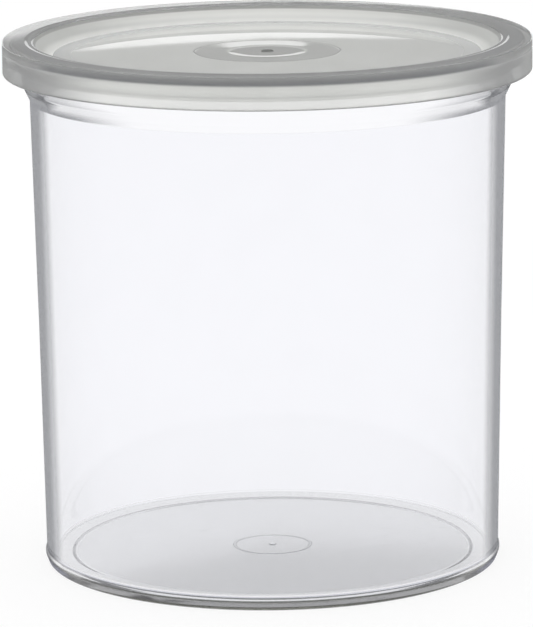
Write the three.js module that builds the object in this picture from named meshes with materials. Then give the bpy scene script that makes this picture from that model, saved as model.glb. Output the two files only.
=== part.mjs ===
// A round condiment crock with a press-on lid, in millimetres, +Z up.
// The crock stands on Z = 0 and both pieces are turned about the Z axis.

import * as THREE from 'three';

// Fineness of the round work
const FACETS_PER_TURN = 64;
const STEPS_PER_FILLET = 3;

// Crock: overall height and the two ends of the tapered outer wall
const CROCK_HEIGHT = 128.4;
const WALL_RADIUS_AT_FOOT = 56.55;
const WALL_RADIUS_AT_COLLAR = 58.6;
const WALL_THICKNESS_AT_FOOT = 2.5;
const WALL_THICKNESS_AT_COLLAR = 3.0;

// Crock: foot, underside and floor
const FOOT_TUCK = 0.4;
const FOOT_WIDTH = 6.0;
const FOOT_EDGE_FILLET = 0.4;
const FOOT_BEAD_PROUD = 0.45;
const FOOT_BEAD_HEIGHT = 2.2;
const FOOT_BEAD_FILLET = 0.5;
const FOOT_BEAD_RUNOUT = 1.0;
const UNDERSIDE_RECESS = 0.8;
const FLOOR_THICKNESS = 2.2;
const FLOOR_FILLET = 0.6;

// Crock: collar and rim round the mouth
const COLLAR_STEP = 1.8;
const COLLAR_DEPTH = 8.2;
const COLLAR_THICKNESS = 2.95;
const COLLAR_FILLET = 1.2;
const FLARE_HEIGHT = 3.8;
const INNER_FLARE_HEIGHT = 3.8;
const FLARE_FILLET = 1.6;
const RIM_OVERHANG = 2.35;
const RIM_DEPTH = 2.6;
const RIM_UNDERCUT_HEIGHT = 0.7;
const RIM_LOWER_FILLET = 0.4;
const RIM_FILLET = 1.0;

// Marks that the mould leaves in the middle of the underside
const MOULD_RING_RADIUS = 9.5;
const MOULD_RING_WIDTH = 0.6;
const MOULD_RING_PROUD = 0.25;
const GATE_PIP_RADIUS = 0.9;
const GATE_PIP_PROUD = 0.35;

// Lid: how it fits the crock
const SEAT_CLEARANCE = 0.3;
const SKIRT_CLEARANCE = 0.3;
const PLUG_CLEARANCE = 0.4;

// Lid: rim and skirt
const LID_ROOF_THICKNESS = 2.1;
const SKIRT_THICKNESS = 2.1;
const SKIRT_DEPTH = 6.0;
const SKIRT_EDGE_FILLET = 0.5;
const CROWN_FILLET = 0.35;
const CROWN_FLAT_WIDTH = 5.3;
const CROWN_STEP_WIDTH = 0.45;
const CROWN_STEP_FALL = 0.16;
const RECESS_EDGE_FILLET = 0.4;
const ROOF_CORNER_FILLET = 0.6;

// Lid: plug wall and recessed panel
const RECESS_DEPTH = 3.6;
const RECESS_EDGE_OVERLAP = 0.65;
const RECESS_WALL_DRAFT = 2.8;
const RECESS_FILLET = 4.4;
const PANEL_THICKNESS = 1.4;
const PANEL_CROWN = 0.3;
const PLUG_THICKNESS = 1.6;
const PLUG_LIP = 1.3;
const PLUG_EDGE_FILLET = 0.4;

// Lid: low boss with a shallow bowl and a gate mark in the middle of the panel
const BOSS_RADIUS = 17.8;
const BOSS_RISE = 0.07;
const CREST_RADIUS = 9.9;
const BOWL_RADIUS = 7.9;
const BOWL_DEPTH = 0.08;
const LID_GATE_RADIUS = 1.5;
const LID_GATE_PROUD = 0.2;

/**
 * Round off the corners of an outline.
 * Each corner is [radius, height] or [radius, height, fillet]. A fillet becomes an arc that touches
 * both neighbouring edges, and takes no more than half of either edge.
 */
function filletedOutline(corners) {
  const outline = [];
  corners.forEach(([radius, height, fillet], index) => {
    const corner = new THREE.Vector2(radius, height);
    if (!fillet) {
      outline.push(corner);
      return;
    }
    const toPrevious = new THREE.Vector2(...corners[index - 1].slice(0, 2)).sub(corner);
    const toNext = new THREE.Vector2(...corners[index + 1].slice(0, 2)).sub(corner);
    const longestReach = Math.min(toPrevious.length(), toNext.length()) / 2;
    const halfAngle = Math.acos(toPrevious.normalize().dot(toNext.normalize())) / 2;
    const reach = Math.min(fillet / Math.tan(halfAngle), longestReach);
    const arcRadius = reach * Math.tan(halfAngle);
    const towardsCentre = toPrevious.clone().add(toNext).normalize();
    const centre = towardsCentre.multiplyScalar(arcRadius / Math.sin(halfAngle)).add(corner);
    const arcStart = toPrevious.multiplyScalar(reach).add(corner).sub(centre);
    const arcEnd = toNext.multiplyScalar(reach).add(corner).sub(centre);
    const turn = Math.atan2(arcStart.cross(arcEnd), arcStart.dot(arcEnd));
    for (let step = 0; step <= STEPS_PER_FILLET; step += 1) {
      const spoke = arcStart.clone().rotateAround(new THREE.Vector2(), turn * step / STEPS_PER_FILLET);
      outline.push(spoke.add(centre));
    }
  });
  return outline;
}

/** Turn an outline, which starts and ends on the axis, into a solid about +Z. */
function turnedSolid(name, corners, material) {
  const geometry = new THREE.LatheGeometry(filletedOutline(corners), FACETS_PER_TURN);
  geometry.rotateX(Math.PI / 2);
  const mesh = new THREE.Mesh(geometry, material);
  mesh.name = name;
  return mesh;
}

// Radii and heights that the two pieces share
const collarRadius = WALL_RADIUS_AT_COLLAR + COLLAR_STEP;
const mouthRadius = collarRadius - COLLAR_THICKNESS;
const rimRadius = collarRadius + RIM_OVERHANG;
const lidSeatHeight = CROCK_HEIGHT + SEAT_CLEARANCE;

/** The clear crock, from the middle of its underside, up the outside and down the inside. */
function crockCorners() {
  const footRadius = WALL_RADIUS_AT_FOOT - FOOT_TUCK;
  const recessRadius = footRadius - FOOT_WIDTH;
  const beadRadius = WALL_RADIUS_AT_FOOT + FOOT_BEAD_PROUD;
  const ringInner = MOULD_RING_RADIUS - MOULD_RING_WIDTH / 2;
  const ringOuter = MOULD_RING_RADIUS + MOULD_RING_WIDTH / 2;
  const floorHeight = UNDERSIDE_RECESS + FLOOR_THICKNESS;
  const innerFoot = WALL_RADIUS_AT_FOOT - WALL_THICKNESS_AT_FOOT;
  const innerCollar = WALL_RADIUS_AT_COLLAR - WALL_THICKNESS_AT_COLLAR;
  const collarHeight = CROCK_HEIGHT - COLLAR_DEPTH;
  const flareHeight = collarHeight - FLARE_HEIGHT;
  const innerFlareHeight = collarHeight - INNER_FLARE_HEIGHT;
  const rimHeight = CROCK_HEIGHT - RIM_DEPTH;
  return [
    [0, UNDERSIDE_RECESS - GATE_PIP_PROUD],
    [GATE_PIP_RADIUS, UNDERSIDE_RECESS - GATE_PIP_PROUD],
    [GATE_PIP_RADIUS, UNDERSIDE_RECESS],
    [ringInner, UNDERSIDE_RECESS],
    [ringInner, UNDERSIDE_RECESS - MOULD_RING_PROUD],
    [ringOuter, UNDERSIDE_RECESS - MOULD_RING_PROUD],
    [ringOuter, UNDERSIDE_RECESS],
    [recessRadius - UNDERSIDE_RECESS, UNDERSIDE_RECESS],
    [recessRadius, 0],
    [footRadius, 0, FOOT_EDGE_FILLET],
    [beadRadius, FOOT_BEAD_HEIGHT, FOOT_BEAD_FILLET],
    [WALL_RADIUS_AT_FOOT, FOOT_BEAD_HEIGHT + FOOT_BEAD_RUNOUT],
    [WALL_RADIUS_AT_COLLAR, flareHeight, FLARE_FILLET],
    [collarRadius, collarHeight, COLLAR_FILLET],
    [collarRadius, rimHeight - RIM_UNDERCUT_HEIGHT, COLLAR_FILLET],
    [rimRadius, rimHeight, RIM_LOWER_FILLET],
    [rimRadius, CROCK_HEIGHT, RIM_FILLET],
    [mouthRadius, CROCK_HEIGHT, RIM_FILLET],
    [mouthRadius, collarHeight, COLLAR_FILLET],
    [innerCollar, innerFlareHeight, FLARE_FILLET],
    [innerFoot, floorHeight, FLOOR_FILLET],
    [0, floorHeight],
  ];
}

/** The lid, from the middle of its underside, out to the skirt and back over the top. */
function lidCorners() {
  const top = LID_ROOF_THICKNESS;
  const panelTop = top - RECESS_DEPTH;
  const panelEdge = panelTop - PANEL_CROWN;
  const panelUnderside = panelEdge - PANEL_THICKNESS;
  const plugBottom = panelUnderside - PLUG_LIP;
  const plugRadius = mouthRadius - PLUG_CLEARANCE;
  const plugInner = plugRadius - PLUG_THICKNESS;
  const recessEdgeRadius = plugRadius + RECESS_EDGE_OVERLAP;
  const recessFloorRadius = recessEdgeRadius - RECESS_WALL_DRAFT;
  const skirtInner = rimRadius + SKIRT_CLEARANCE;
  const skirtOuter = skirtInner + SKIRT_THICKNESS;
  const crownInner = skirtOuter - CROWN_FILLET - CROWN_FLAT_WIDTH;
  const ledge = top - CROWN_STEP_FALL;
  const crest = panelTop + BOSS_RISE;
  const bowl = crest - BOWL_DEPTH;
  return [
    [0, panelUnderside],
    [plugInner, panelUnderside, PLUG_EDGE_FILLET],
    [plugInner, plugBottom, PLUG_EDGE_FILLET],
    [plugRadius, plugBottom, PLUG_EDGE_FILLET],
    [plugRadius, 0, ROOF_CORNER_FILLET],
    [skirtInner, 0, ROOF_CORNER_FILLET],
    [skirtInner, -SKIRT_DEPTH, SKIRT_EDGE_FILLET],
    [skirtOuter, -SKIRT_DEPTH, SKIRT_EDGE_FILLET],
    [skirtOuter, top, CROWN_FILLET],
    [crownInner, top],
    [crownInner - CROWN_STEP_WIDTH, ledge],
    [recessEdgeRadius, ledge, RECESS_EDGE_FILLET],
    [recessFloorRadius, panelEdge, RECESS_FILLET],
    [BOSS_RADIUS, panelTop],
    [CREST_RADIUS, crest],
    [BOWL_RADIUS, bowl],
    [LID_GATE_RADIUS, bowl],
    [LID_GATE_RADIUS, bowl + LID_GATE_PROUD],
    [0, bowl + LID_GATE_PROUD],
  ];
}

const clearPlastic = new THREE.MeshStandardMaterial({
  color: 0xf1f4f6,
  roughness: 0.06,
  metalness: 0,
  transparent: true,
  opacity: 0.3,
});
const cloudyPlastic = new THREE.MeshStandardMaterial({
  color: 0xc6c8c4,
  roughness: 0.3,
  metalness: 0,
  transparent: true,
  opacity: 0.85,
});

const crockBody = turnedSolid('crock_body', crockCorners(), clearPlastic);
const lid = turnedSolid('lid', lidCorners(), cloudyPlastic);
lid.position.z = lidSeatHeight;

const condimentCrock = new THREE.Group();
condimentCrock.add(crockBody, lid);

export default condimentCrock;
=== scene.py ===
"""A clear condiment crock with a cloudy press-on lid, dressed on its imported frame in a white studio."""

import logging
import math
from dataclasses import dataclass, field
from enum import Enum
from typing import Any

import bmesh
import bpy
from mathutils import Matrix, Vector


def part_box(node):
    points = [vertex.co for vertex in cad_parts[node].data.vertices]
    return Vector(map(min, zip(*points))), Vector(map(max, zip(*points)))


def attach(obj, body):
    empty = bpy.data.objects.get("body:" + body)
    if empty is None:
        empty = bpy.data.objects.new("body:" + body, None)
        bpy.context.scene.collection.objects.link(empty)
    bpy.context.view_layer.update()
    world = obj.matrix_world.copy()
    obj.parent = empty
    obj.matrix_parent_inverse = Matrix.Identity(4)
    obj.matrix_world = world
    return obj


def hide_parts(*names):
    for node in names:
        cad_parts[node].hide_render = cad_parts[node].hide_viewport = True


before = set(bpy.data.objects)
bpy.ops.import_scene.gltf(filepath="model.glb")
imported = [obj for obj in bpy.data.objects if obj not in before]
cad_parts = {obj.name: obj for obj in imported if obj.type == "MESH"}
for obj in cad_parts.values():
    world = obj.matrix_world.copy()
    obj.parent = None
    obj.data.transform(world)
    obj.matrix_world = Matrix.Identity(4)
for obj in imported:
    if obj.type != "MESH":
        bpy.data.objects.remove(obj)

LOG = logging.getLogger("crock")
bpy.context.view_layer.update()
MM = 0.001
FULL_TURN = 2.0 * math.pi
MERGE_DISTANCE = 0.002 * MM

Colour = tuple[float, float, float, float]
Triple = tuple[float, float, float]


def grey(level: float) -> Colour:
    """Give an even grey of that linear level."""
    return (level, level, level, 1.0)


WHITE = grey(1.0)


class Ray(Enum):
    """The kinds of ray that a shader can ask Light Path about."""

    CAMERA = "Is Camera Ray"
    GLOSSY = "Is Glossy Ray"
    TRANSMISSION = "Is Transmission Ray"
    SHADOW = "Is Shadow Ray"


class Side(Enum):
    """The two sides of the studio, as the sign of X."""

    LEFT = -1.0
    RIGHT = 1.0


class Skin(Enum):
    """The lid's finishes, as their places in its list of materials."""

    NEARLY_CLEAR = 0
    FROSTED = 1
    CLOUDIER = 2


@dataclass(frozen=True)
class Grain:
    """Soft noise: its lumps to a metre, its finer layers and how dense it is along each axis."""

    scale: float
    detail: float
    stretch: Triple = (1.0, 1.0, 1.0)


# Shader maths and nodes
class Number:
    """A number on its way through a shader, whose Python operators add Math nodes."""

    def __init__(self, graph: "Graph", socket: bpy.types.NodeSocket) -> None:
        """Keep the graph that new nodes go to and the socket that gives the number."""
        self.graph = graph
        self.socket = socket

    def _math(self, operation: str, first: Any, second: Any) -> "Number":
        """Add one Math node.

        Args:
            operation: the Math node's operation.
            first: its first value, a Number or a plain number.
            second: its second value, likewise.

        Returns:
            The node's result.
        """
        node = self.graph.node("ShaderNodeMath", {"operation": operation}, {0: first, 1: second})
        return Number(self.graph, node.outputs[0])

    def __add__(self, other: Any) -> "Number":
        """Add other to this number."""
        return self._math("ADD", self, other)

    __radd__ = __add__

    def __mul__(self, other: Any) -> "Number":
        """Multiply this number by other."""
        return self._math("MULTIPLY", self, other)

    __rmul__ = __mul__

    def __sub__(self, other: Any) -> "Number":
        """Take other from this number."""
        return self._math("SUBTRACT", self, other)

    def __rsub__(self, other: Any) -> "Number":
        """Take this number from other."""
        return self._math("SUBTRACT", other, self)

    def __or__(self, other: Any) -> "Number":
        """Give the larger of the two numbers."""
        return self._math("MAXIMUM", self, other)

    def root(self) -> "Number":
        """Give this number's square root."""
        return self._math("SQRT", self, 0.0)

    def ramp(self, start: float, end: float, low: float = 0.0, high: float = 1.0) -> "Number":
        """Ease from low to high as this number goes from start to end.

        Args:
            start: where the ease begins.
            end: where it is complete.
            low: the result up to start.
            high: the result from end on.

        Returns:
            The eased number.
        """
        node = self.graph.node(
            "ShaderNodeMapRange",
            {"interpolation_type": "SMOOTHSTEP"},
            {"Value": self, "From Min": start, "From Max": end, "To Min": low, "To Max": high},
        )
        return Number(self.graph, node.outputs[0])


class Graph:
    """The shader nodes of one material or world."""

    # Light Path counts bounces in whole numbers, and each ease lies between two of them
    UNSCATTERED = (0.2, 0.8)
    MIRRORED_OFTEN = (2.2, 2.8)
    EVEN_BLEND = 0.5
    NO_BEND = 1.0

    def __init__(self, tree: bpy.types.NodeTree) -> None:
        """Start from an empty tree."""
        self.tree = tree
        self.tree.nodes.clear()

    def node(
        self,
        kind: str,
        settings: dict[str, Any] | None = None,
        inputs: dict[Any, Any] | None = None,
    ) -> bpy.types.Node:
        """Add a node.

        Args:
            kind: the node's type.
            settings: its properties, which are set before its sockets.
            inputs: a value, a socket or a Number for each named or numbered socket.

        Returns:
            The new node.
        """
        node = self.tree.nodes.new(kind)
        for name, value in (settings or {}).items():
            setattr(node, name, value)
        for name, value in (inputs or {}).items():
            if isinstance(value, Number):
                value = value.socket
            if isinstance(value, bpy.types.NodeSocket):
                self.tree.links.new(value, node.inputs[name])
            else:
                node.inputs[name].default_value = value
        return node

    def number(self, node: bpy.types.Node, output: str) -> Number:
        """Wrap one of a node's outputs for shader maths."""
        return Number(self, node.outputs[output])

    def ray(self, kind: Ray) -> Number:
        """Give 1 for rays of that kind and 0 for others."""
        return self.path(kind.value)

    def path(self, output: str) -> Number:
        """Give one of Light Path's outputs."""
        return self.number(self.node("ShaderNodeLightPath"), output)

    def seen(self) -> Number:
        """Give 1 for what the camera sees, straight or by way of gloss and clear plastic."""
        sharp = self.ray(Ray.CAMERA) | self.ray(Ray.GLOSSY) | self.ray(Ray.TRANSMISSION)
        return sharp * self.path("Diffuse Depth").ramp(*self.UNSCATTERED, 1.0, 0.0)

    def trapped(self) -> Number:
        """Give 1 for light that the plastic has mirrored inside itself over and over."""
        return self.path("Glossy Depth").ramp(*self.MIRRORED_OFTEN)

    def straight_through(self, tint: Colour) -> bpy.types.Node:
        """Make a shader that lets light out of the plastic without bending it."""
        inputs = {"Color": tint, "Roughness": 0.0, "IOR": self.NO_BEND}
        return self.node("ShaderNodeBsdfRefraction", inputs=inputs)

    def place(self, stretch: Triple = (1.0, 1.0, 1.0)) -> bpy.types.NodeSocket:
        """Give the piece's own coordinates, in metres, stretched along each axis."""
        source = self.node("ShaderNodeTexCoord").outputs["Object"]
        return self.node("ShaderNodeMapping", inputs={"Vector": source, "Scale": stretch}).outputs[0]

    def height(self) -> Number:
        """Give the height above the foot, in metres."""
        return self.number(self.node("ShaderNodeSeparateXYZ", inputs={0: self.place()}), "Z")

    def from_axis(self) -> Number:
        """Give the distance from the Z axis, in metres."""
        node = self.node("ShaderNodeVectorMath", {"operation": "LENGTH"}, {0: self.place((1.0, 1.0, 0.0))})
        return self.number(node, "Value")

    def facing(self) -> Number:
        """Give 0 where a face is seen square on and 1 where it is seen edge-on."""
        return self.number(self.node("ShaderNodeLayerWeight", inputs={"Blend": self.EVEN_BLEND}), "Facing")

    def sight(self) -> Number:
        """Give how far from the Z axis a line of sight would pass, past an upright round face."""
        square_on = 1.0 - self.facing()
        return self.from_axis() * (1.0 - square_on * square_on).root()

    def from_outside(self) -> Number:
        """Give 1 where a face is met from outside the plastic and 0 from inside."""
        return 1.0 - self.number(self.node("ShaderNodeNewGeometry"), "Backfacing")

    def shade(self, share: Any, first: bpy.types.Node, second: bpy.types.Node) -> bpy.types.Node:
        """Mix two shaders, with share of the second."""
        inputs = {0: share, 1: first.outputs[0], 2: second.outputs[0]}
        return self.node("ShaderNodeMixShader", inputs=inputs)

    def noise(self, grain: Grain) -> Number:
        """Give soft noise.

        Args:
            grain: the noise's size, layers and density.

        Returns:
            The noise, about 0.5 in the middle.
        """
        node = self.node(
            "ShaderNodeTexNoise",
            inputs={"Vector": self.place(grain.stretch), "Scale": grain.scale, "Detail": grain.detail},
        )
        return self.number(node, "Fac")

    def blend(self, share: Any, first: Any, second: Any) -> bpy.types.NodeSocket:
        """Mix two colours, with share of the second."""
        node = self.node("ShaderNodeMix", {"data_type": "RGBA"}, {"Factor": share, 6: first, 7: second})
        return node.outputs[2]

    def bump(self, height: Number, depth: float, strength: float) -> bpy.types.NodeSocket:
        """Turn a height into a normal.

        Args:
            height: the height, from 0 to 1.
            depth: how deep a height of 1 is, in metres.
            strength: how much of the bump shows.

        Returns:
            The bumped normal.
        """
        node = self.node(
            "ShaderNodeBump",
            inputs={"Strength": strength, "Distance": depth, "Height": height},
        )
        return node.outputs[0]

    def open_to_lamps(self, surface: bpy.types.Node, tint: Colour) -> bpy.types.NodeSocket:
        """Let light from lamps pass a surface, so that it casts a pale shadow.

        Args:
            surface: the shader that everything but a shadow ray meets.
            tint: the colour of the light that passes.

        Returns:
            The mixed shader.
        """
        passing = self.node("ShaderNodeBsdfTransparent", inputs={"Color": tint})
        return self.shade(self.ray(Ray.SHADOW), surface, passing).outputs[0]

    def close(self, surface: Any, volume: Any = None) -> None:
        """Join the finished shaders to the material's output.

        Args:
            surface: the socket of the surface's shader.
            volume: the socket of the body's shader, if it has one.
        """
        inputs = {"Surface": surface}
        if volume is not None:
            inputs["Volume"] = volume
        self.node("ShaderNodeOutputMaterial", inputs=inputs)


# Finishes
@dataclass(frozen=True)
class ClearPlastic:
    """Clear, hard, glossy plastic, as it comes from a polished mould."""

    name: str = "clear_plastic"
    tint: Colour = (0.967, 0.969, 0.985, 1.0)
    # Painted shade: the grey the outer wall turns where it is seen edge-on, in place of the dark
    # surroundings it would refract.
    painted_edge_shade: Colour = (0.36, 0.365, 0.375, 1.0)
    painted_edge_share: float = 0.97
    painted_edge_reach: float = 1.5 * MM
    trapped_tint: Colour = (0.9, 0.905, 0.91, 1.0)
    # Painted shade: a dark band round the foot's outside, in place of the contact shadow seen through it.
    painted_foot_shade: Colour = (0.205, 0.205, 0.165, 1.0)
    foot_top: float = 2.6 * MM
    foot_full: float = 2.2 * MM
    floor_tint: Colour = (0.99, 0.995, 1.0, 1.0)
    collar_tint: Colour = (1.0, 1.0, 1.0, 1.0)
    # Painted shade: the inner wall darkens towards this grey where it is seen edge-on.
    painted_inner_edge_shade: Colour = (0.35, 0.355, 0.365, 1.0)
    painted_inner_edge_share: float = 0.75
    inside_radius: float = 55.7 * MM
    outside_radius: float = 56.1 * MM
    inner_radius_at_foot: float = 54.0 * MM
    inner_flare: float = 0.0136
    bend: float = 1.57
    mirror_share: float = 0.35
    gloss: float = 0.012
    scuff: float = 0.06
    floor_gloss: float = 0.06
    floor_low: float = 3.1 * MM
    floor_high: float = 4.0 * MM
    # Painted shade at the crease and the collar, darker towards their edge-on ends, with a fine painted
    # dark line along the crease.
    crease_low: float = 116.3 * MM
    crease_high: float = 119.0 * MM
    crease_blur: float = 0.15 * MM
    crease_start: float = 43.0 * MM
    crease_full: float = 54.0 * MM
    crease_rest: float = 0.22
    painted_crease_line: float = 0.12
    crease_width: float = 0.3 * MM
    collar_low: float = 119.6 * MM
    collar_corner: float = 120.1 * MM
    collar_high: float = 120.7 * MM
    collar_start: float = 40.0 * MM
    collar_full: float = 57.0 * MM
    painted_corner_share: float = 0.7
    painted_collar_share: float = 0.55
    shadow_tint: Colour = (0.97, 0.975, 0.98, 1.0)
    body_colour: Colour = (0.80, 0.80, 0.90, 1.0)
    body_density: float = 12.0
    haze: Grain = Grain(90.0, 2.0)
    haze_tint: Colour = grey(0.8)
    haze_start: float = 0.35
    haze_full: float = 0.75
    haze_share: float = 0.03
    scratches: Grain = Grain(260.0, 3.0, (1.0, 1.0, 9.0))
    scratch_start: float = 0.60
    scratch_full: float = 0.78
    flow: Grain = Grain(34.0, 1.0, (1.0, 1.0, 0.25))
    flow_depth: float = 0.05 * MM
    flow_strength: float = 0.3

    def material(self) -> bpy.types.Material:
        """Make a clear body with a painted dark shade round its foot and painted shade where its wall,
        crease and collar are seen edge-on, inside and out, with light scuffs.

        Returns:
            The new material.
        """
        material = bpy.data.materials.new(self.name)
        material.use_nodes = True
        graph = Graph(material.node_tree)
        # Painted shade on the inner wall, growing with the cube of how edge-on it is seen.
        cube = graph.facing() * graph.facing() * graph.facing()
        inside = graph.from_axis().ramp(
            self.inside_radius, self.outside_radius, self.painted_inner_edge_share, 0.0
        )
        # Painted shade: where a line of sight grazes the wall, the crease or the collar, the plastic is
        # mixed towards a dark grey refraction.
        inner_wall = graph.height() * self.inner_flare + self.inner_radius_at_foot
        painted_wall_edge = (graph.sight() - inner_wall).ramp(
            -self.painted_edge_reach, self.painted_edge_reach, 0.0, self.painted_edge_share
        )
        above_crease = graph.height().ramp(self.crease_low, self.crease_low + self.crease_blur)
        fading = graph.height().ramp(self.crease_low, self.crease_high, 1.0, self.crease_rest)
        corner = graph.height().ramp(self.collar_low, self.collar_corner)
        past_corner = graph.height().ramp(
            self.collar_corner, self.collar_high, self.painted_corner_share, self.painted_collar_share
        )
        painted_crease_shade = graph.sight().ramp(self.crease_start, self.crease_full) * above_crease * fading
        line = above_crease * graph.height().ramp(
            self.crease_low + self.crease_blur, self.crease_low + self.crease_width, self.painted_crease_line, 0.0
        )
        collar = graph.sight().ramp(self.collar_start, self.collar_full) * corner * past_corner
        edge = (painted_wall_edge | painted_crease_shade | collar | line) * graph.from_outside()
        # Painted shade on the outside of the foot, below its top.
        low = graph.height().ramp(self.foot_full, self.foot_top, 1.0, 0.0)
        outer = graph.from_axis().ramp(self.inside_radius, self.outside_radius)
        haze = graph.noise(self.haze).ramp(self.haze_start, self.haze_full, 0.0, self.haze_share)
        on_floor = graph.height().ramp(self.floor_low, self.floor_high, 1.0, 0.0) * (1.0 - outer)
        wall = graph.blend(above_crease, self.tint, self.collar_tint)
        clear = graph.blend(haze, graph.blend(on_floor, wall, self.floor_tint), self.haze_tint)
        colour = graph.blend(low * outer * graph.from_outside(), clear, self.painted_foot_shade)
        scratches = graph.noise(self.scratches).ramp(self.scratch_start, self.scratch_full)
        satin = graph.height().ramp(self.floor_low, self.floor_high, self.floor_gloss, self.gloss)
        plastic = graph.node(
            "ShaderNodeBsdfPrincipled",
            inputs={
                "Base Color": graph.blend(inside * cube, colour, self.painted_inner_edge_shade),
                "Roughness": scratches * self.scuff + satin,
                "IOR": self.bend,
                "Specular Tint": grey(self.mirror_share),
                "Transmission Weight": 1.0,
                "Normal": graph.bump(graph.noise(self.flow), self.flow_depth, self.flow_strength),
            },
        )
        # The painted edge shade, a dark grey refraction.
        dark = graph.node(
            "ShaderNodeBsdfRefraction",
            inputs={"Color": self.painted_edge_shade, "Roughness": self.gloss, "IOR": self.bend},
        )
        both = graph.shade(edge, plastic, dark)
        whole = graph.shade(graph.trapped(), both, graph.straight_through(self.trapped_tint))
        body = graph.node(
            "ShaderNodeVolumeAbsorption",
            inputs={"Color": self.body_colour, "Density": self.body_density},
        )
        graph.close(graph.open_to_lamps(whole, self.shadow_tint), body.outputs[0])
        return material


@dataclass(frozen=True)
class CloudyPlastic:
    """Soft see-through plastic with cloud in it and a glossy skin."""

    name: str = "cloudy_plastic"
    tint: Colour = (0.97, 0.975, 0.955, 1.0)
    cloud_tint: Colour = (0.93, 0.935, 0.915, 1.0)
    # Painted shade: the skirt turns dark grey, refracted and diffuse, where it is seen edge-on.
    painted_edge_shade: Colour = (0.40, 0.405, 0.41, 1.0)
    painted_edge_diffuse_shade: Colour = (0.92, 0.925, 0.93, 1.0)
    # Painted shade: the outside of the crown rim is darkened towards this grey.
    painted_crown_shade: Colour = (0.19, 0.195, 0.21, 1.0)
    # Greyer boss ring: partly the thicker plastic there, partly painted shade for the darker look of its
    # slope.
    boss_grey_and_painted_shade: Colour = (0.66, 0.665, 0.65, 1.0)
    boss_full: float = 17.4 * MM
    boss_start: float = 17.9 * MM
    crest_start: float = 9.5 * MM
    crest_full: float = 10.3 * MM
    # Painted shade in the groove round the boss, and a darker spot on the gate pip.
    painted_groove_shade_and_dark_gate: Colour = (0.22, 0.225, 0.22, 1.0)
    groove_middle: float = 17.95 * MM
    groove_reach: float = 0.45 * MM
    gate_full: float = 1.5 * MM
    gate_start: float = 1.8 * MM
    trapped_tint: Colour = (0.85, 0.855, 0.85, 1.0)
    edge_start: float = 40.0 * MM
    edge_full: float = 60.0 * MM
    crown_edge_start: float = 53.0 * MM
    painted_crown_edge_share: float = 0.0
    crown_start: float = 128.2 * MM
    crown_full: float = 129.0 * MM
    crown_top: float = 130.8 * MM
    crown_top_share: float = 0.68
    rim_start: float = 56.0 * MM
    rim_full: float = 56.8 * MM
    clearness: float = 0.68
    bend: float = 1.5
    gloss: float = 0.015
    wear: float = 0.02
    shadow_tint: Colour = (0.92, 0.925, 0.92, 1.0)
    cloud: Grain = Grain(55.0, 4.0)
    cloud_start: float = 0.3
    cloud_full: float = 0.7

    def material(self) -> bpy.types.Material:
        """Make faint clouds, a boss ring greyed partly by its thicker plastic and partly by painted shade,
        painted shade in the groove, a darker gate pip, painted shade on the crown rim, and a skirt painted
        dark where it is seen edge-on.

        Returns:
            The new material.
        """
        material = bpy.data.materials.new(self.name)
        material.use_nodes = True
        graph = Graph(material.node_tree)
        cloud = graph.noise(self.cloud).ramp(self.cloud_start, self.cloud_full)
        crown = graph.height().ramp(self.crown_start, self.crown_full)
        rim = graph.from_axis().ramp(self.rim_start, self.rim_full)
        # Painted shade on the skirt, and by a share on the crown's sides, where they are seen edge-on.
        below_crown = graph.sight().ramp(self.edge_start, self.edge_full) * (1.0 - crown)
        at_crown = graph.sight().ramp(self.crown_edge_start, self.edge_full) * crown
        painted_skirt_edge = below_crown | at_crown * self.painted_crown_edge_share
        # Painted shade over the crown rim, lighter towards its top.
        fade = graph.height().ramp(self.crown_full, self.crown_top, 1.0, self.crown_top_share)
        painted_crown_rim = rim * crown * fade * graph.from_outside()
        crest = graph.from_axis().ramp(self.crest_start, self.crest_full)
        boss = graph.from_axis().ramp(self.boss_full, self.boss_start, 1.0, 0.0)
        milky = graph.blend(cloud, self.tint, self.cloud_tint)
        # Boss ring greyed partly by its thicker plastic and partly by painted shade.
        raised = graph.blend(boss * crest * graph.from_outside(), milky, self.boss_grey_and_painted_shade)
        # Painted shade: a dark line in the groove round the boss; the gate pip is darkened too.
        inward = graph.from_axis().ramp(self.groove_middle - self.groove_reach, self.groove_middle)
        outward = graph.from_axis().ramp(
            self.groove_middle, self.groove_middle + self.groove_reach, 1.0, 0.0
        )
        gate = graph.from_axis().ramp(self.gate_full, self.gate_start, 1.0, 0.0)
        groove_shade_and_gate_spot = (inward * outward | gate) * graph.from_outside()
        colour = graph.blend(groove_shade_and_gate_spot, raised, self.painted_groove_shade_and_dark_gate)
        plastic = graph.node(
            "ShaderNodeBsdfPrincipled",
            inputs={
                "Base Color": graph.blend(painted_crown_rim, colour, self.painted_crown_shade),
                "Roughness": cloud * self.wear + self.gloss,
                "IOR": self.bend,
                "Transmission Weight": self.clearness,
            },
        )
        # The painted edge shade: a dark grey refraction and a grey diffuse, mixed as the plastic's
        # clearness.
        painted_edge_refraction = graph.node(
            "ShaderNodeBsdfRefraction",
            inputs={"Color": self.painted_edge_shade, "Roughness": self.gloss, "IOR": self.bend},
        )
        haze = graph.node("ShaderNodeBsdfDiffuse", inputs={"Color": self.cloud_tint})
        painted_edge_diffuse = graph.node("ShaderNodeBsdfDiffuse", inputs={"Color": self.painted_edge_diffuse_shade})
        dark = graph.shade(self.clearness, painted_edge_diffuse, painted_edge_refraction)
        let_out = graph.shade(self.clearness, haze, graph.straight_through(self.trapped_tint))
        body = graph.shade(painted_skirt_edge * graph.from_outside(), plastic, dark)
        whole = graph.shade(graph.trapped(), body, let_out)
        graph.close(graph.open_to_lamps(whole, self.shadow_tint))
        return material


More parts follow.
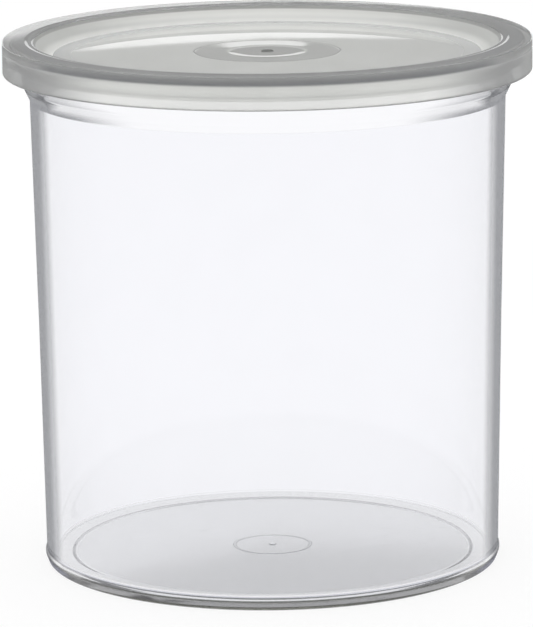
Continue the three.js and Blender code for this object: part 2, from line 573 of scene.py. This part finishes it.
@dataclass(frozen=True)
class FrostedPlastic:
    """The same soft plastic where the mould was left matt, so that light spreads in it."""

    name: str = "frosted_plastic"
    tint: Colour = (0.92, 0.925, 0.91, 1.0)
    cloud_tint: Colour = (0.88, 0.885, 0.87, 1.0)
    # Painted shade: the underside below the bowl is darkened so that the bowl reads darker from above.
    painted_bowl_shade: Colour = (0.34, 0.345, 0.335, 1.0)
    wall_tint: Colour = (0.86, 0.862, 0.835, 1.0)
    # Painted shade: the recess wall darkens towards its top.
    painted_wall_top_shade: Colour = (0.72, 0.72, 0.695, 1.0)
    # Painted shade: a dark band at the top of the recess wall, under the ledge.
    painted_lip_shade: Colour = (0.34, 0.342, 0.335, 1.0)
    lip_start: float = 129.5 * MM
    lip_full: float = 129.8 * MM
    # Painted shade: the recess wall greys towards this where it is seen edge-on.
    painted_wall_end_shade: Colour = (0.56, 0.565, 0.55, 1.0)
    wall_start: float = 126.7 * MM
    wall_full: float = 127.1 * MM
    wall_middle: float = 128.0 * MM
    wall_top: float = 129.8 * MM
    end_start: float = 0.1
    end_full: float = 0.55
    foot_share: float = 0.4
    bowl_start: float = 9.6 * MM
    bowl_full: float = 8.8 * MM
    clearness: float = 0.3
    bend: float = 1.5
    gloss: float = 0.45
    wear: float = 0.1
    shadow_tint: Colour = (0.86, 0.865, 0.86, 1.0)
    cloud: Grain = Grain(70.0, 4.0)
    cloud_start: float = 0.3
    cloud_full: float = 0.7

    def material(self) -> bpy.types.Material:
        """Make a matt, milky face with uneven frosting, with painted shade at the lip, under the bowl,
        towards the top of the recess wall and at its ends seen edge-on.

        Returns:
            The new material.
        """
        material = bpy.data.materials.new(self.name)
        material.use_nodes = True
        graph = Graph(material.node_tree)
        cloud = graph.noise(self.cloud).ramp(self.cloud_start, self.cloud_full)
        # Painted shade under the bowl.
        bowl = graph.from_axis().ramp(self.bowl_full, self.bowl_start, 1.0, 0.0)
        wall = graph.height().ramp(self.wall_start, self.wall_full)
        frost = graph.blend(cloud, self.tint, self.cloud_tint)
        # Painted shade, growing towards the top of the recess wall.
        upper = graph.height().ramp(self.wall_middle, self.wall_top)
        above_foot = graph.height().ramp(self.wall_full, self.wall_middle, self.foot_share, 1.0)
        # Painted shade at the recess wall's edge-on ends, weaker near its foot.
        painted_end_mask = graph.facing().ramp(self.end_start, self.end_full) * above_foot
        side = graph.blend(upper, self.wall_tint, self.painted_wall_top_shade)
        greying = graph.blend(painted_end_mask, side, self.painted_wall_end_shade)
        # Painted shade at the top of the recess wall.
        lip = graph.height().ramp(self.lip_start, self.lip_full)
        milky = graph.blend(wall, frost, graph.blend(lip, greying, self.painted_lip_shade))
        plastic = graph.node(
            "ShaderNodeBsdfPrincipled",
            inputs={
                "Base Color": graph.blend(bowl, milky, self.painted_bowl_shade),
                "Roughness": cloud * self.wear + self.gloss,
                "IOR": self.bend,
                "Transmission Weight": self.clearness,
            },
        )
        graph.close(graph.open_to_lamps(plastic, self.shadow_tint))
        return material


# Turned shapes
@dataclass(frozen=True)
class Corner:
    """A corner of a turned outline, in metres, with the reach of its rounding along each edge."""

    radius: float
    height: float
    reach: float = 0.0


@dataclass
class TurnedShell:
    """A closed solid of revolution about Z."""

    name: str
    corners: list[Corner]
    steps: int = 288
    rounding: int = 6

    def build(self) -> bpy.types.Object:
        """Spin the outline, round off its corners and put the mesh in the scene.

        Returns:
            The new object, at the origin, with its place in its mesh.
        """
        shell = bmesh.new()
        outline = [shell.verts.new((corner.radius, 0.0, corner.height)) for corner in self.corners]
        edges = [shell.edges.new(pair) for pair in zip(outline, outline[1:])]
        bmesh.ops.spin(
            shell,
            geom=outline + edges,
            cent=(0.0, 0.0, 0.0),
            axis=(0.0, 0.0, 1.0),
            angle=FULL_TURN,
            steps=self.steps,
            use_merge=True,
        )
        bmesh.ops.remove_doubles(shell, verts=shell.verts, dist=MERGE_DISTANCE)
        bmesh.ops.recalc_face_normals(shell, faces=shell.faces)
        for corner in self.corners:
            if corner.reach > 0.0:
                self._round_off(shell, corner)
        mesh = bpy.data.meshes.new(self.name)
        shell.to_mesh(mesh)
        shell.free()
        mesh.shade_smooth()
        piece = bpy.data.objects.new(self.name, mesh)
        bpy.context.collection.objects.link(piece)
        normals = piece.modifiers.new("even_normals", "WEIGHTED_NORMAL")
        normals.keep_sharp = True
        return piece

    def _round_off(self, shell: bmesh.types.BMesh, corner: Corner) -> None:
        """Bevel the ring of edges that a corner left.

        Args:
            shell: the spun mesh.
            corner: the corner whose ring is rounded.
        """
        ring = [edge for edge in shell.edges if all(self._at(vert, corner) for vert in edge.verts)]
        bmesh.ops.bevel(
            shell,
            geom=ring,
            offset=corner.reach,
            offset_type="OFFSET",
            segments=self.rounding,
            profile=0.5,
            affect="EDGES",
            material=-1,
            loop_slide=True,
        )

    @staticmethod
    def _at(vert: bmesh.types.BMVert, corner: Corner) -> bool:
        """Tell whether a vertex lies on the ring that a corner left."""
        off_radius = abs(vert.co.xy.length - corner.radius)
        return off_radius < MERGE_DISTANCE and abs(vert.co.z - corner.height) < MERGE_DISTANCE


# The two mouldings
@dataclass
class CrockBody:
    """The clear crock: foot, floor, tapered wall, collar and rim. Sizes are in millimetres."""

    wall_radius_at_foot: float = 56.55
    wall_radius_at_collar: float = 58.6
    wall_bow: float = 0.14
    wall_thickness_at_foot: float = 2.5
    wall_thickness_at_collar: float = 3.0
    foot_tuck: float = 0.4
    foot_width: float = 6.0
    foot_bead_proud: float = 0.45
    foot_bead_height: float = 2.2
    foot_bead_runout: float = 1.0
    underside_recess: float = 0.8
    floor_thickness: float = 2.2
    collar_step: float = 1.8
    collar_depth: float = 8.2
    collar_thickness: float = 2.95
    flare_height: float = 3.8
    inner_flare_height: float = 3.8
    rim_depth: float = 2.6
    rim_undercut_height: float = 0.7
    mould_ring_radius: float = 9.5
    mould_ring_width: float = 0.6
    mould_ring_proud: float = 0.25
    gate_pip_radius: float = 0.9
    gate_pip_proud: float = 0.35
    gate_pip_rounding: float = 0.2
    gate_pip_root_rounding: float = 0.15
    mould_ring_rounding: float = 0.1
    recess_rounding: float = 0.5
    recess_edge_rounding: float = 0.3
    foot_rounding: float = 0.35
    foot_bead_rounding: float = 0.5
    foot_bead_runout_rounding: float = 0.3
    flare_rounding: float = 0.3
    collar_rounding: float = 0.8
    inner_collar_rounding: float = 0.6
    rim_undercut_rounding: float = 0.9
    rim_lower_rounding: float = 0.35
    rim_rounding: float = 1.0
    floor_rounding: float = 0.6
    finish: ClearPlastic = field(default_factory=ClearPlastic)

    def corners(self) -> list[Corner]:
        """Work out the outline, from the middle of the underside, up the outside and down the inside.

        Returns:
            The outline's corners, in metres.
        """
        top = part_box("crock_body")[1]
        rim_radius = top[0] / MM
        height = top[2] / MM
        foot = self.wall_radius_at_foot - self.foot_tuck
        recess = foot - self.foot_width
        ring_inner = self.mould_ring_radius - self.mould_ring_width / 2.0
        ring_outer = self.mould_ring_radius + self.mould_ring_width / 2.0
        under = self.underside_recess
        floor = under + self.floor_thickness
        bead_radius = self.wall_radius_at_foot + self.foot_bead_proud
        bead_end = self.foot_bead_height + self.foot_bead_runout
        collar_radius = self.wall_radius_at_collar + self.collar_step
        mouth = collar_radius - self.collar_thickness
        collar = height - self.collar_depth
        flare = collar - self.flare_height
        rim = height - self.rim_depth
        inner_foot = self.wall_radius_at_foot - self.wall_thickness_at_foot
        inner_collar = self.wall_radius_at_collar - self.wall_thickness_at_collar
        waist = (bead_end + flare) / 2.0
        waist_radius = (self.wall_radius_at_foot + self.wall_radius_at_collar) / 2.0 - self.wall_bow
        outline = (
            (0.0, under - self.gate_pip_proud, 0.0),
            (self.gate_pip_radius, under - self.gate_pip_proud, self.gate_pip_rounding),
            (self.gate_pip_radius, under, self.gate_pip_root_rounding),
            (ring_inner, under, self.mould_ring_rounding),
            (ring_inner, under - self.mould_ring_proud, self.mould_ring_rounding),
            (ring_outer, under - self.mould_ring_proud, self.mould_ring_rounding),
            (ring_outer, under, self.mould_ring_rounding),
            (recess - under, under, self.recess_rounding),
            (recess, 0.0, self.recess_edge_rounding),
            (foot, 0.0, self.foot_rounding),
            (bead_radius, self.foot_bead_height, self.foot_bead_rounding),
            (self.wall_radius_at_foot, bead_end, self.foot_bead_runout_rounding),
            (waist_radius, waist, 0.0),
            (self.wall_radius_at_collar, flare, self.flare_rounding),
            (collar_radius, collar, self.collar_rounding),
            (collar_radius, rim - self.rim_undercut_height, self.rim_undercut_rounding),
            (rim_radius, rim, self.rim_lower_rounding),
            (rim_radius, height, self.rim_rounding),
            (mouth, height, self.rim_rounding),
            (mouth, collar, self.inner_collar_rounding),
            (inner_collar, collar - self.inner_flare_height, self.flare_rounding),
            (inner_foot, floor, self.floor_rounding),
            (0.0, floor, 0.0),
        )
        return [Corner(radius * MM, z * MM, reach * MM) for radius, z, reach in outline]

    def build(self) -> bpy.types.Object:
        """Build the crock, dress it and stand it in for its solid.

        Returns:
            The finished piece.
        """
        piece = TurnedShell("clear_crock", self.corners()).build()
        piece.data.materials.append(self.finish.material())
        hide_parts("crock_body")
        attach(piece, "crock")
        return piece


@dataclass
class Lid:
    """The cloudy lid: skirt, roof, plug wall and recessed panel.

    Sizes are in millimetres. A rise is how far a face's normal points upwards, from 0 to 1.
    """

    plug_radius: float = 57.05
    roof_thickness: float = 2.1
    skirt_thickness: float = 2.1
    crown_rounding: float = 0.35
    crown_flat_width: float = 5.3
    crown_step_width: float = 0.45
    crown_step_fall: float = 0.16
    recess_edge_overlap: float = 0.65
    recess_wall_draft: float = 2.8
    frost_fall: float = 0.45
    recess_depth: float = 3.6
    panel_thickness: float = 1.4
    panel_crown: float = 0.3
    panel_strips: int = 8
    plug_thickness: float = 1.6
    plug_lip: float = 1.3
    boss_radius: float = 17.8
    boss_rise: float = 0.07
    boss_first_slope: float = 0.7
    boss_strips: int = 6
    groove_width: float = 0.25
    groove_depth: float = 0.05
    crest_radius: float = 9.9
    bowl_radius: float = 7.9
    bowl_depth: float = 0.08
    gate_pip_radius: float = 1.5
    gate_pip_proud: float = 0.2
    plug_rounding: float = 0.4
    plug_root_rounding: float = 0.5
    skirt_root_rounding: float = 0.6
    skirt_rounding: float = 0.5
    crown_step_rounding: float = 0.22
    ledge_rounding: float = 0.2
    recess_edge_rounding: float = 0.4
    recess_rounding: float = 2.2
    crest_rounding: float = 0.3
    bowl_rounding: float = 0.5
    gate_pip_root_rounding: float = 0.2
    gate_pip_rounding: float = 0.1
    upright_rise: float = 0.3
    level_rise: float = 0.9985
    wall_foot_reach: float = 3.0
    skirt_skin: float = 0.2
    finish: CloudyPlastic = field(default_factory=CloudyPlastic)
    underside_finish: FrostedPlastic = field(default_factory=FrostedPlastic)
    # The skirt is cloudier, and its painted edge shade is darker and also covers the crown's sides.
    skirt_finish: CloudyPlastic = CloudyPlastic(
        name="cloudier_plastic_painted_edges", clearness=0.5, painted_edge_diffuse_shade=grey(0.62), painted_crown_edge_share=1.0
    )

    def corners(self) -> list[Corner]:
        """Work out the outline, from the middle of the underside, out to the skirt and over the top.

        Returns:
            The outline's corners, in metres.
        """
        low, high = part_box("lid")
        outer = high[0] / MM
        top = high[2] / MM
        skirt_bottom = low[2] / MM
        roof = top - self.roof_thickness
        skirt_inner = outer - self.skirt_thickness
        panel = top - self.recess_depth
        panel_edge = panel - self.panel_crown
        underside = panel_edge - self.panel_thickness
        plug_bottom = underside - self.plug_lip
        plug_inner = self.plug_radius - self.plug_thickness
        recess_edge = self.plug_radius + self.recess_edge_overlap
        recess_floor = recess_edge - self.recess_wall_draft
        crown_inner = outer - self.crown_rounding - self.crown_flat_width
        ledge = top - self.crown_step_fall
        wall_share = (self.frost_fall - self.crown_step_fall) / (ledge - panel_edge)
        frost_edge = recess_edge - self.recess_wall_draft * wall_share
        bowl = panel + self.boss_rise - self.bowl_depth
        groove_outer = self.boss_radius + self.groove_width
        shoulder = self.boss_radius - self.groove_width
        strip_width = (recess_floor - groove_outer) / self.panel_strips
        strips = [recess_floor - strip_width * strip for strip in range(1, self.panel_strips)]
        boss_width = (self.boss_radius - self.crest_radius) / self.boss_strips
        boss = [self.boss_radius - boss_width * strip for strip in range(1, self.boss_strips)]
        outline = (
            (0.0, underside, 0.0),
            (self.boss_radius, underside, 0.0),
            (plug_inner, underside, self.plug_rounding),
            (plug_inner, plug_bottom, self.plug_rounding),
            (self.plug_radius, plug_bottom, self.plug_rounding),
            (self.plug_radius, roof, self.plug_root_rounding),
            (skirt_inner, roof, self.skirt_root_rounding),
            (skirt_inner, skirt_bottom, self.skirt_rounding),
            (outer, skirt_bottom, self.skirt_rounding),
            (outer, top, self.crown_rounding),
            (crown_inner, top, self.crown_step_rounding),
            (crown_inner - self.crown_step_width, ledge, self.ledge_rounding),
            (recess_edge, ledge, self.recess_edge_rounding),
            (frost_edge, top - self.frost_fall, 0.0),
            (recess_floor, panel_edge, self.recess_rounding),
            *((radius, self._panel_height(radius, recess_floor, panel), 0.0) for radius in strips),
            (groove_outer + self.groove_width, panel, 0.0),
            (groove_outer, panel, 0.0),
            (self.boss_radius + self.groove_width / 2.0, panel - self.groove_depth, 0.0),
            (self.boss_radius, panel, 0.0),
            (shoulder, panel + self._boss_height(shoulder), 0.0),
            *((radius, panel + self._boss_height(radius), 0.0) for radius in boss),
            (self.crest_radius, panel + self.boss_rise, self.crest_rounding),
            (self.bowl_radius, bowl, self.bowl_rounding),
            (self.gate_pip_radius, bowl, self.gate_pip_root_rounding),
            (self.gate_pip_radius, bowl + self.gate_pip_proud, self.gate_pip_rounding),
            (0.0, bowl + self.gate_pip_proud, 0.0),
        )
        return [Corner(radius * MM, z * MM, reach * MM) for radius, z, reach in outline]

    def _panel_height(self, radius: float, edge_radius: float, top: float) -> float:
        """Work out the height of the domed panel.

        Args:
            radius: where the height is wanted.
            edge_radius: the radius where the panel meets the recess wall.
            top: the panel's height at the boss.

        Returns:
            The height there, on a dome that is level in the middle.
        """
        share = (radius**2 - self.boss_radius**2) / (edge_radius**2 - self.boss_radius**2)
        return top - self.panel_crown * share

    def _boss_height(self, radius: float) -> float:
        """Work out how far the boss stands above the panel, on a slope that steepens inwards.

        Args:
            radius: where the height is wanted.

        Returns:
            The height above the panel there.
        """
        share = (self.boss_radius - radius) / (self.boss_radius - self.crest_radius)
        first = self.boss_first_slope
        return self.boss_rise * (first * share + (1.0 - first) * share**2)

    def _frost(self, piece: bpy.types.Object) -> None:
        """Frost the panel's underside and the recess wall, and make the skirt cloudier, with a darker
        painted shade where it is seen edge-on.

        Args:
            piece: the lid, with its materials in the order of Skin.
        """
        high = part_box("lid")[1]
        outer = high[0] / MM
        top = high[2] / MM
        panel_edge = top - self.recess_depth - self.panel_crown
        wall_foot = self.plug_radius + self.recess_edge_overlap - self.recess_wall_draft
        plug_inner = self.plug_radius - self.plug_thickness
        for face in piece.data.polygons:
            away = face.center.xy.length / MM
            height = face.center.z / MM
            rise = face.normal.z
            below = height < panel_edge and away < plug_inner and rise < self.upright_rise
            wall = panel_edge < height < top - self.frost_fall and wall_foot - self.wall_foot_reach < away
            inward = away < self.plug_radius and self.upright_rise < rise < self.level_rise
            if below or (wall and inward):
                face.material_index = Skin.FROSTED.value
            elif away > outer - self.skirt_skin and abs(rise) < self.upright_rise:
                face.material_index = Skin.CLOUDIER.value

    def build(self) -> bpy.types.Object:
        """Build the lid, dress it and stand it in for its solid.

        Returns:
            The finished piece.
        """
        piece = TurnedShell("cloudy_lid", self.corners()).build()
        finishes = {
            Skin.NEARLY_CLEAR: self.finish,
            Skin.FROSTED: self.underside_finish,
            Skin.CLOUDIER: self.skirt_finish,
        }
        for skin in Skin:
            piece.data.materials.append(finishes[skin].material())
        self._frost(piece)
        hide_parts("lid")
        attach(piece, "lid")
        return piece


# The studio
@dataclass(frozen=True)
class Softbox:
    """A soft lamp that looks at a point, in metres and watts."""

    name: str
    place: Triple
    aim: Triple
    width: float
    length: float
    power: float

    def build(self) -> None:
        """Hang the lamp, out of sight of the camera, of gloss and of clear plastic."""
        light = bpy.data.lights.new(self.name, "AREA")
        light.shape = "RECTANGLE"
        light.size = self.width
        light.size_y = self.length
        light.energy = self.power
        lamp = bpy.data.objects.new(self.name, light)
        bpy.context.collection.objects.link(lamp)
        lamp.location = self.place
        lamp.rotation_euler = (Vector(self.aim) - Vector(self.place)).to_track_quat("-Z", "Y").to_euler()
        lamp.visible_camera = False
        lamp.visible_glossy = False
        lamp.visible_transmission = False


@dataclass
class Studio:
    """A pale floor, a white card, a plain sweep, soft lamps and the camera at the photograph's angle.

    Sizes are in metres where their names don't say otherwise.
    """

    image_width: int = 533
    image_height: int = 627
    sensor_mm: float = 36.0
    focal_px: float = 4877.7
    distance_mm: float = 1213.3
    target_mm: Triple = (-0.888, 0.0, 61.262)
    pitch_deg: float = 11.671
    roll_deg: float = -0.646
    floor_size: float = 12.0
    floor_colour: Colour = grey(0.18)
    floor_glow: float = 0.81
    floor_bounce: float = 0.26
    card_distance: float = 1.034
    card_width: float = 2.4
    card_left: float = 0.4335
    card_middle: float = 0.2667
    card_right: float = 0.305
    card_glow: float = 1.02
    sky_white_up_to: float = 0.0
    sky_grey_from: float = 0.02
    sky_grey: float = 0.22
    sky_light: float = 1.0
    lamp_aim: Triple = (0.0, 0.0, 0.08)
    lamp_power: float = 1.0
    overhead_place: Triple = (0.0, 0.25, 1.3)
    overhead_width: float = 0.9
    overhead_length: float = 0.7
    side_distance: float = 0.85
    side_height: float = 0.85
    side_width: float = 0.16
    side_length: float = 0.5

    def build(self) -> None:
        """Set up the floor, the card, the sky, the lamps and the camera."""
        self._floor()
        self._card()
        self._sky()
        self._lamps()
        self._camera()
        bpy.context.scene.view_settings.view_transform = "Standard"

    def _floor(self) -> None:
        """Lay the pale floor that the crock stands on."""
        sheet = bmesh.new()
        bmesh.ops.create_grid(sheet, x_segments=1, y_segments=1, size=self.floor_size / 2.0)
        mesh = bpy.data.meshes.new("studio_floor")
        sheet.to_mesh(mesh)
        sheet.free()
        floor = bpy.data.objects.new("studio_floor", mesh)
        bpy.context.collection.objects.link(floor)
        material = bpy.data.materials.new("studio_floor")
        material.use_nodes = True
        graph = Graph(material.node_tree)
        paint = graph.node("ShaderNodeBsdfDiffuse", inputs={"Color": self.floor_colour})
        strength = graph.seen() * (self.floor_glow - self.floor_bounce) + self.floor_bounce
        glow = graph.node("ShaderNodeEmission", inputs={"Color": WHITE, "Strength": strength})
        both = graph.node("ShaderNodeAddShader", inputs={0: paint.outputs[0], 1: glow.outputs[0]})
        graph.close(both.outputs[0])
        mesh.materials.append(material)

    def _card(self) -> None:
        """Stand a white card behind the crock, for gloss and clear plastic to show."""
        side = self.card_width / 2.0
        tops = ((-side, self.card_left), (0.0, self.card_middle), (side, self.card_right))
        sheet = bmesh.new()
        verts = [sheet.verts.new((x, self.card_distance, height)) for x, height in tops]
        edges = [sheet.edges.new(pair) for pair in zip(verts, verts[1:])]
        made = bmesh.ops.extrude_edge_only(sheet, edges=edges)["geom"]
        lower = [part for part in made if isinstance(part, bmesh.types.BMVert)]
        bmesh.ops.translate(sheet, verts=lower, vec=(0.0, 0.0, -self.card_left))
        mesh = bpy.data.meshes.new("studio_card")
        sheet.to_mesh(mesh)
        sheet.free()
        card = bpy.data.objects.new("studio_card", mesh)
        bpy.context.collection.objects.link(card)
        material = bpy.data.materials.new("studio_card")
        material.use_nodes = True
        graph = Graph(material.node_tree)
        glow = graph.node("ShaderNodeEmission", inputs={"Color": WHITE, "Strength": self.card_glow})
        graph.close(glow.outputs[0])
        mesh.materials.append(material)
        card.visible_camera = False
        card.visible_diffuse = False
        card.visible_shadow = False

    def _sky(self) -> None:
        """Surround the crock with a sweep that mirrors white low down and grey above."""
        world = bpy.data.worlds.new("studio_sky")
        world.use_nodes = True
        bpy.context.scene.world = world
        graph = Graph(world.node_tree)
        way = graph.node("ShaderNodeTexCoord").outputs["Generated"]
        height = graph.number(graph.node("ShaderNodeSeparateXYZ", inputs={0: way}), "Z")
        shade = height.ramp(self.sky_white_up_to, self.sky_grey_from, 1.0, self.sky_grey)
        seen = graph.seen()
        strength = seen * (shade | graph.ray(Ray.CAMERA)) + (1.0 - seen) * self.sky_light
        light = graph.node("ShaderNodeBackground", inputs={"Color": WHITE, "Strength": strength})
        graph.node("ShaderNodeOutputWorld", inputs={"Surface": light.outputs[0]})

    def _lamps(self) -> None:
        """Hang a wide softbox overhead and a tall one on each side."""
        overhead = Softbox(
            "overhead_softbox",
            self.overhead_place,
            self.lamp_aim,
            self.overhead_width,
            self.overhead_length,
            self.lamp_power,
        )
        overhead.build()
        for side in Side:
            lamp = Softbox(
                f"{side.name.lower()}_softbox",
                (side.value * self.side_distance, 0.0, self.side_height),
                self.lamp_aim,
                self.side_width,
                self.side_length,
                self.lamp_power,
            )
            lamp.build()

    def _camera(self) -> None:
        """Put the camera where the photograph was taken from."""
        pitch = math.radians(self.pitch_deg)
        roll = math.radians(self.roll_deg)
        forward = Vector((0.0, math.cos(pitch), -math.sin(pitch)))
        right = Vector((1.0, 0.0, 0.0))
        up = right.cross(forward)
        across = right * math.cos(roll) + up * math.sin(roll)
        upward = up * math.cos(roll) - right * math.sin(roll)
        axes = Matrix((across, upward, -forward)).transposed()
        data = bpy.data.cameras.new("studio_camera")
        data.sensor_width = self.sensor_mm
        data.lens = self.focal_px * self.sensor_mm / max(self.image_width, self.image_height)
        data.clip_end = 2.0 * self.floor_size
        camera = bpy.data.objects.new("studio_camera", data)
        bpy.context.collection.objects.link(camera)
        camera.matrix_world = axes.to_4x4()
        camera.location = (Vector(self.target_mm) - forward * self.distance_mm) * MM
        bpy.context.scene.camera = camera


def main() -> None:
    """Build the crock, its lid and the studio, and report each piece."""
    logging.basicConfig(level=logging.INFO, format="%(name)s: %(message)s")
    for maker in (CrockBody(), Lid()):
        piece = maker.build()
        LOG.info("%s has %d faces", piece.name, len(piece.data.polygons))
    Studio().build()


if __name__ == "__main__":
    main()
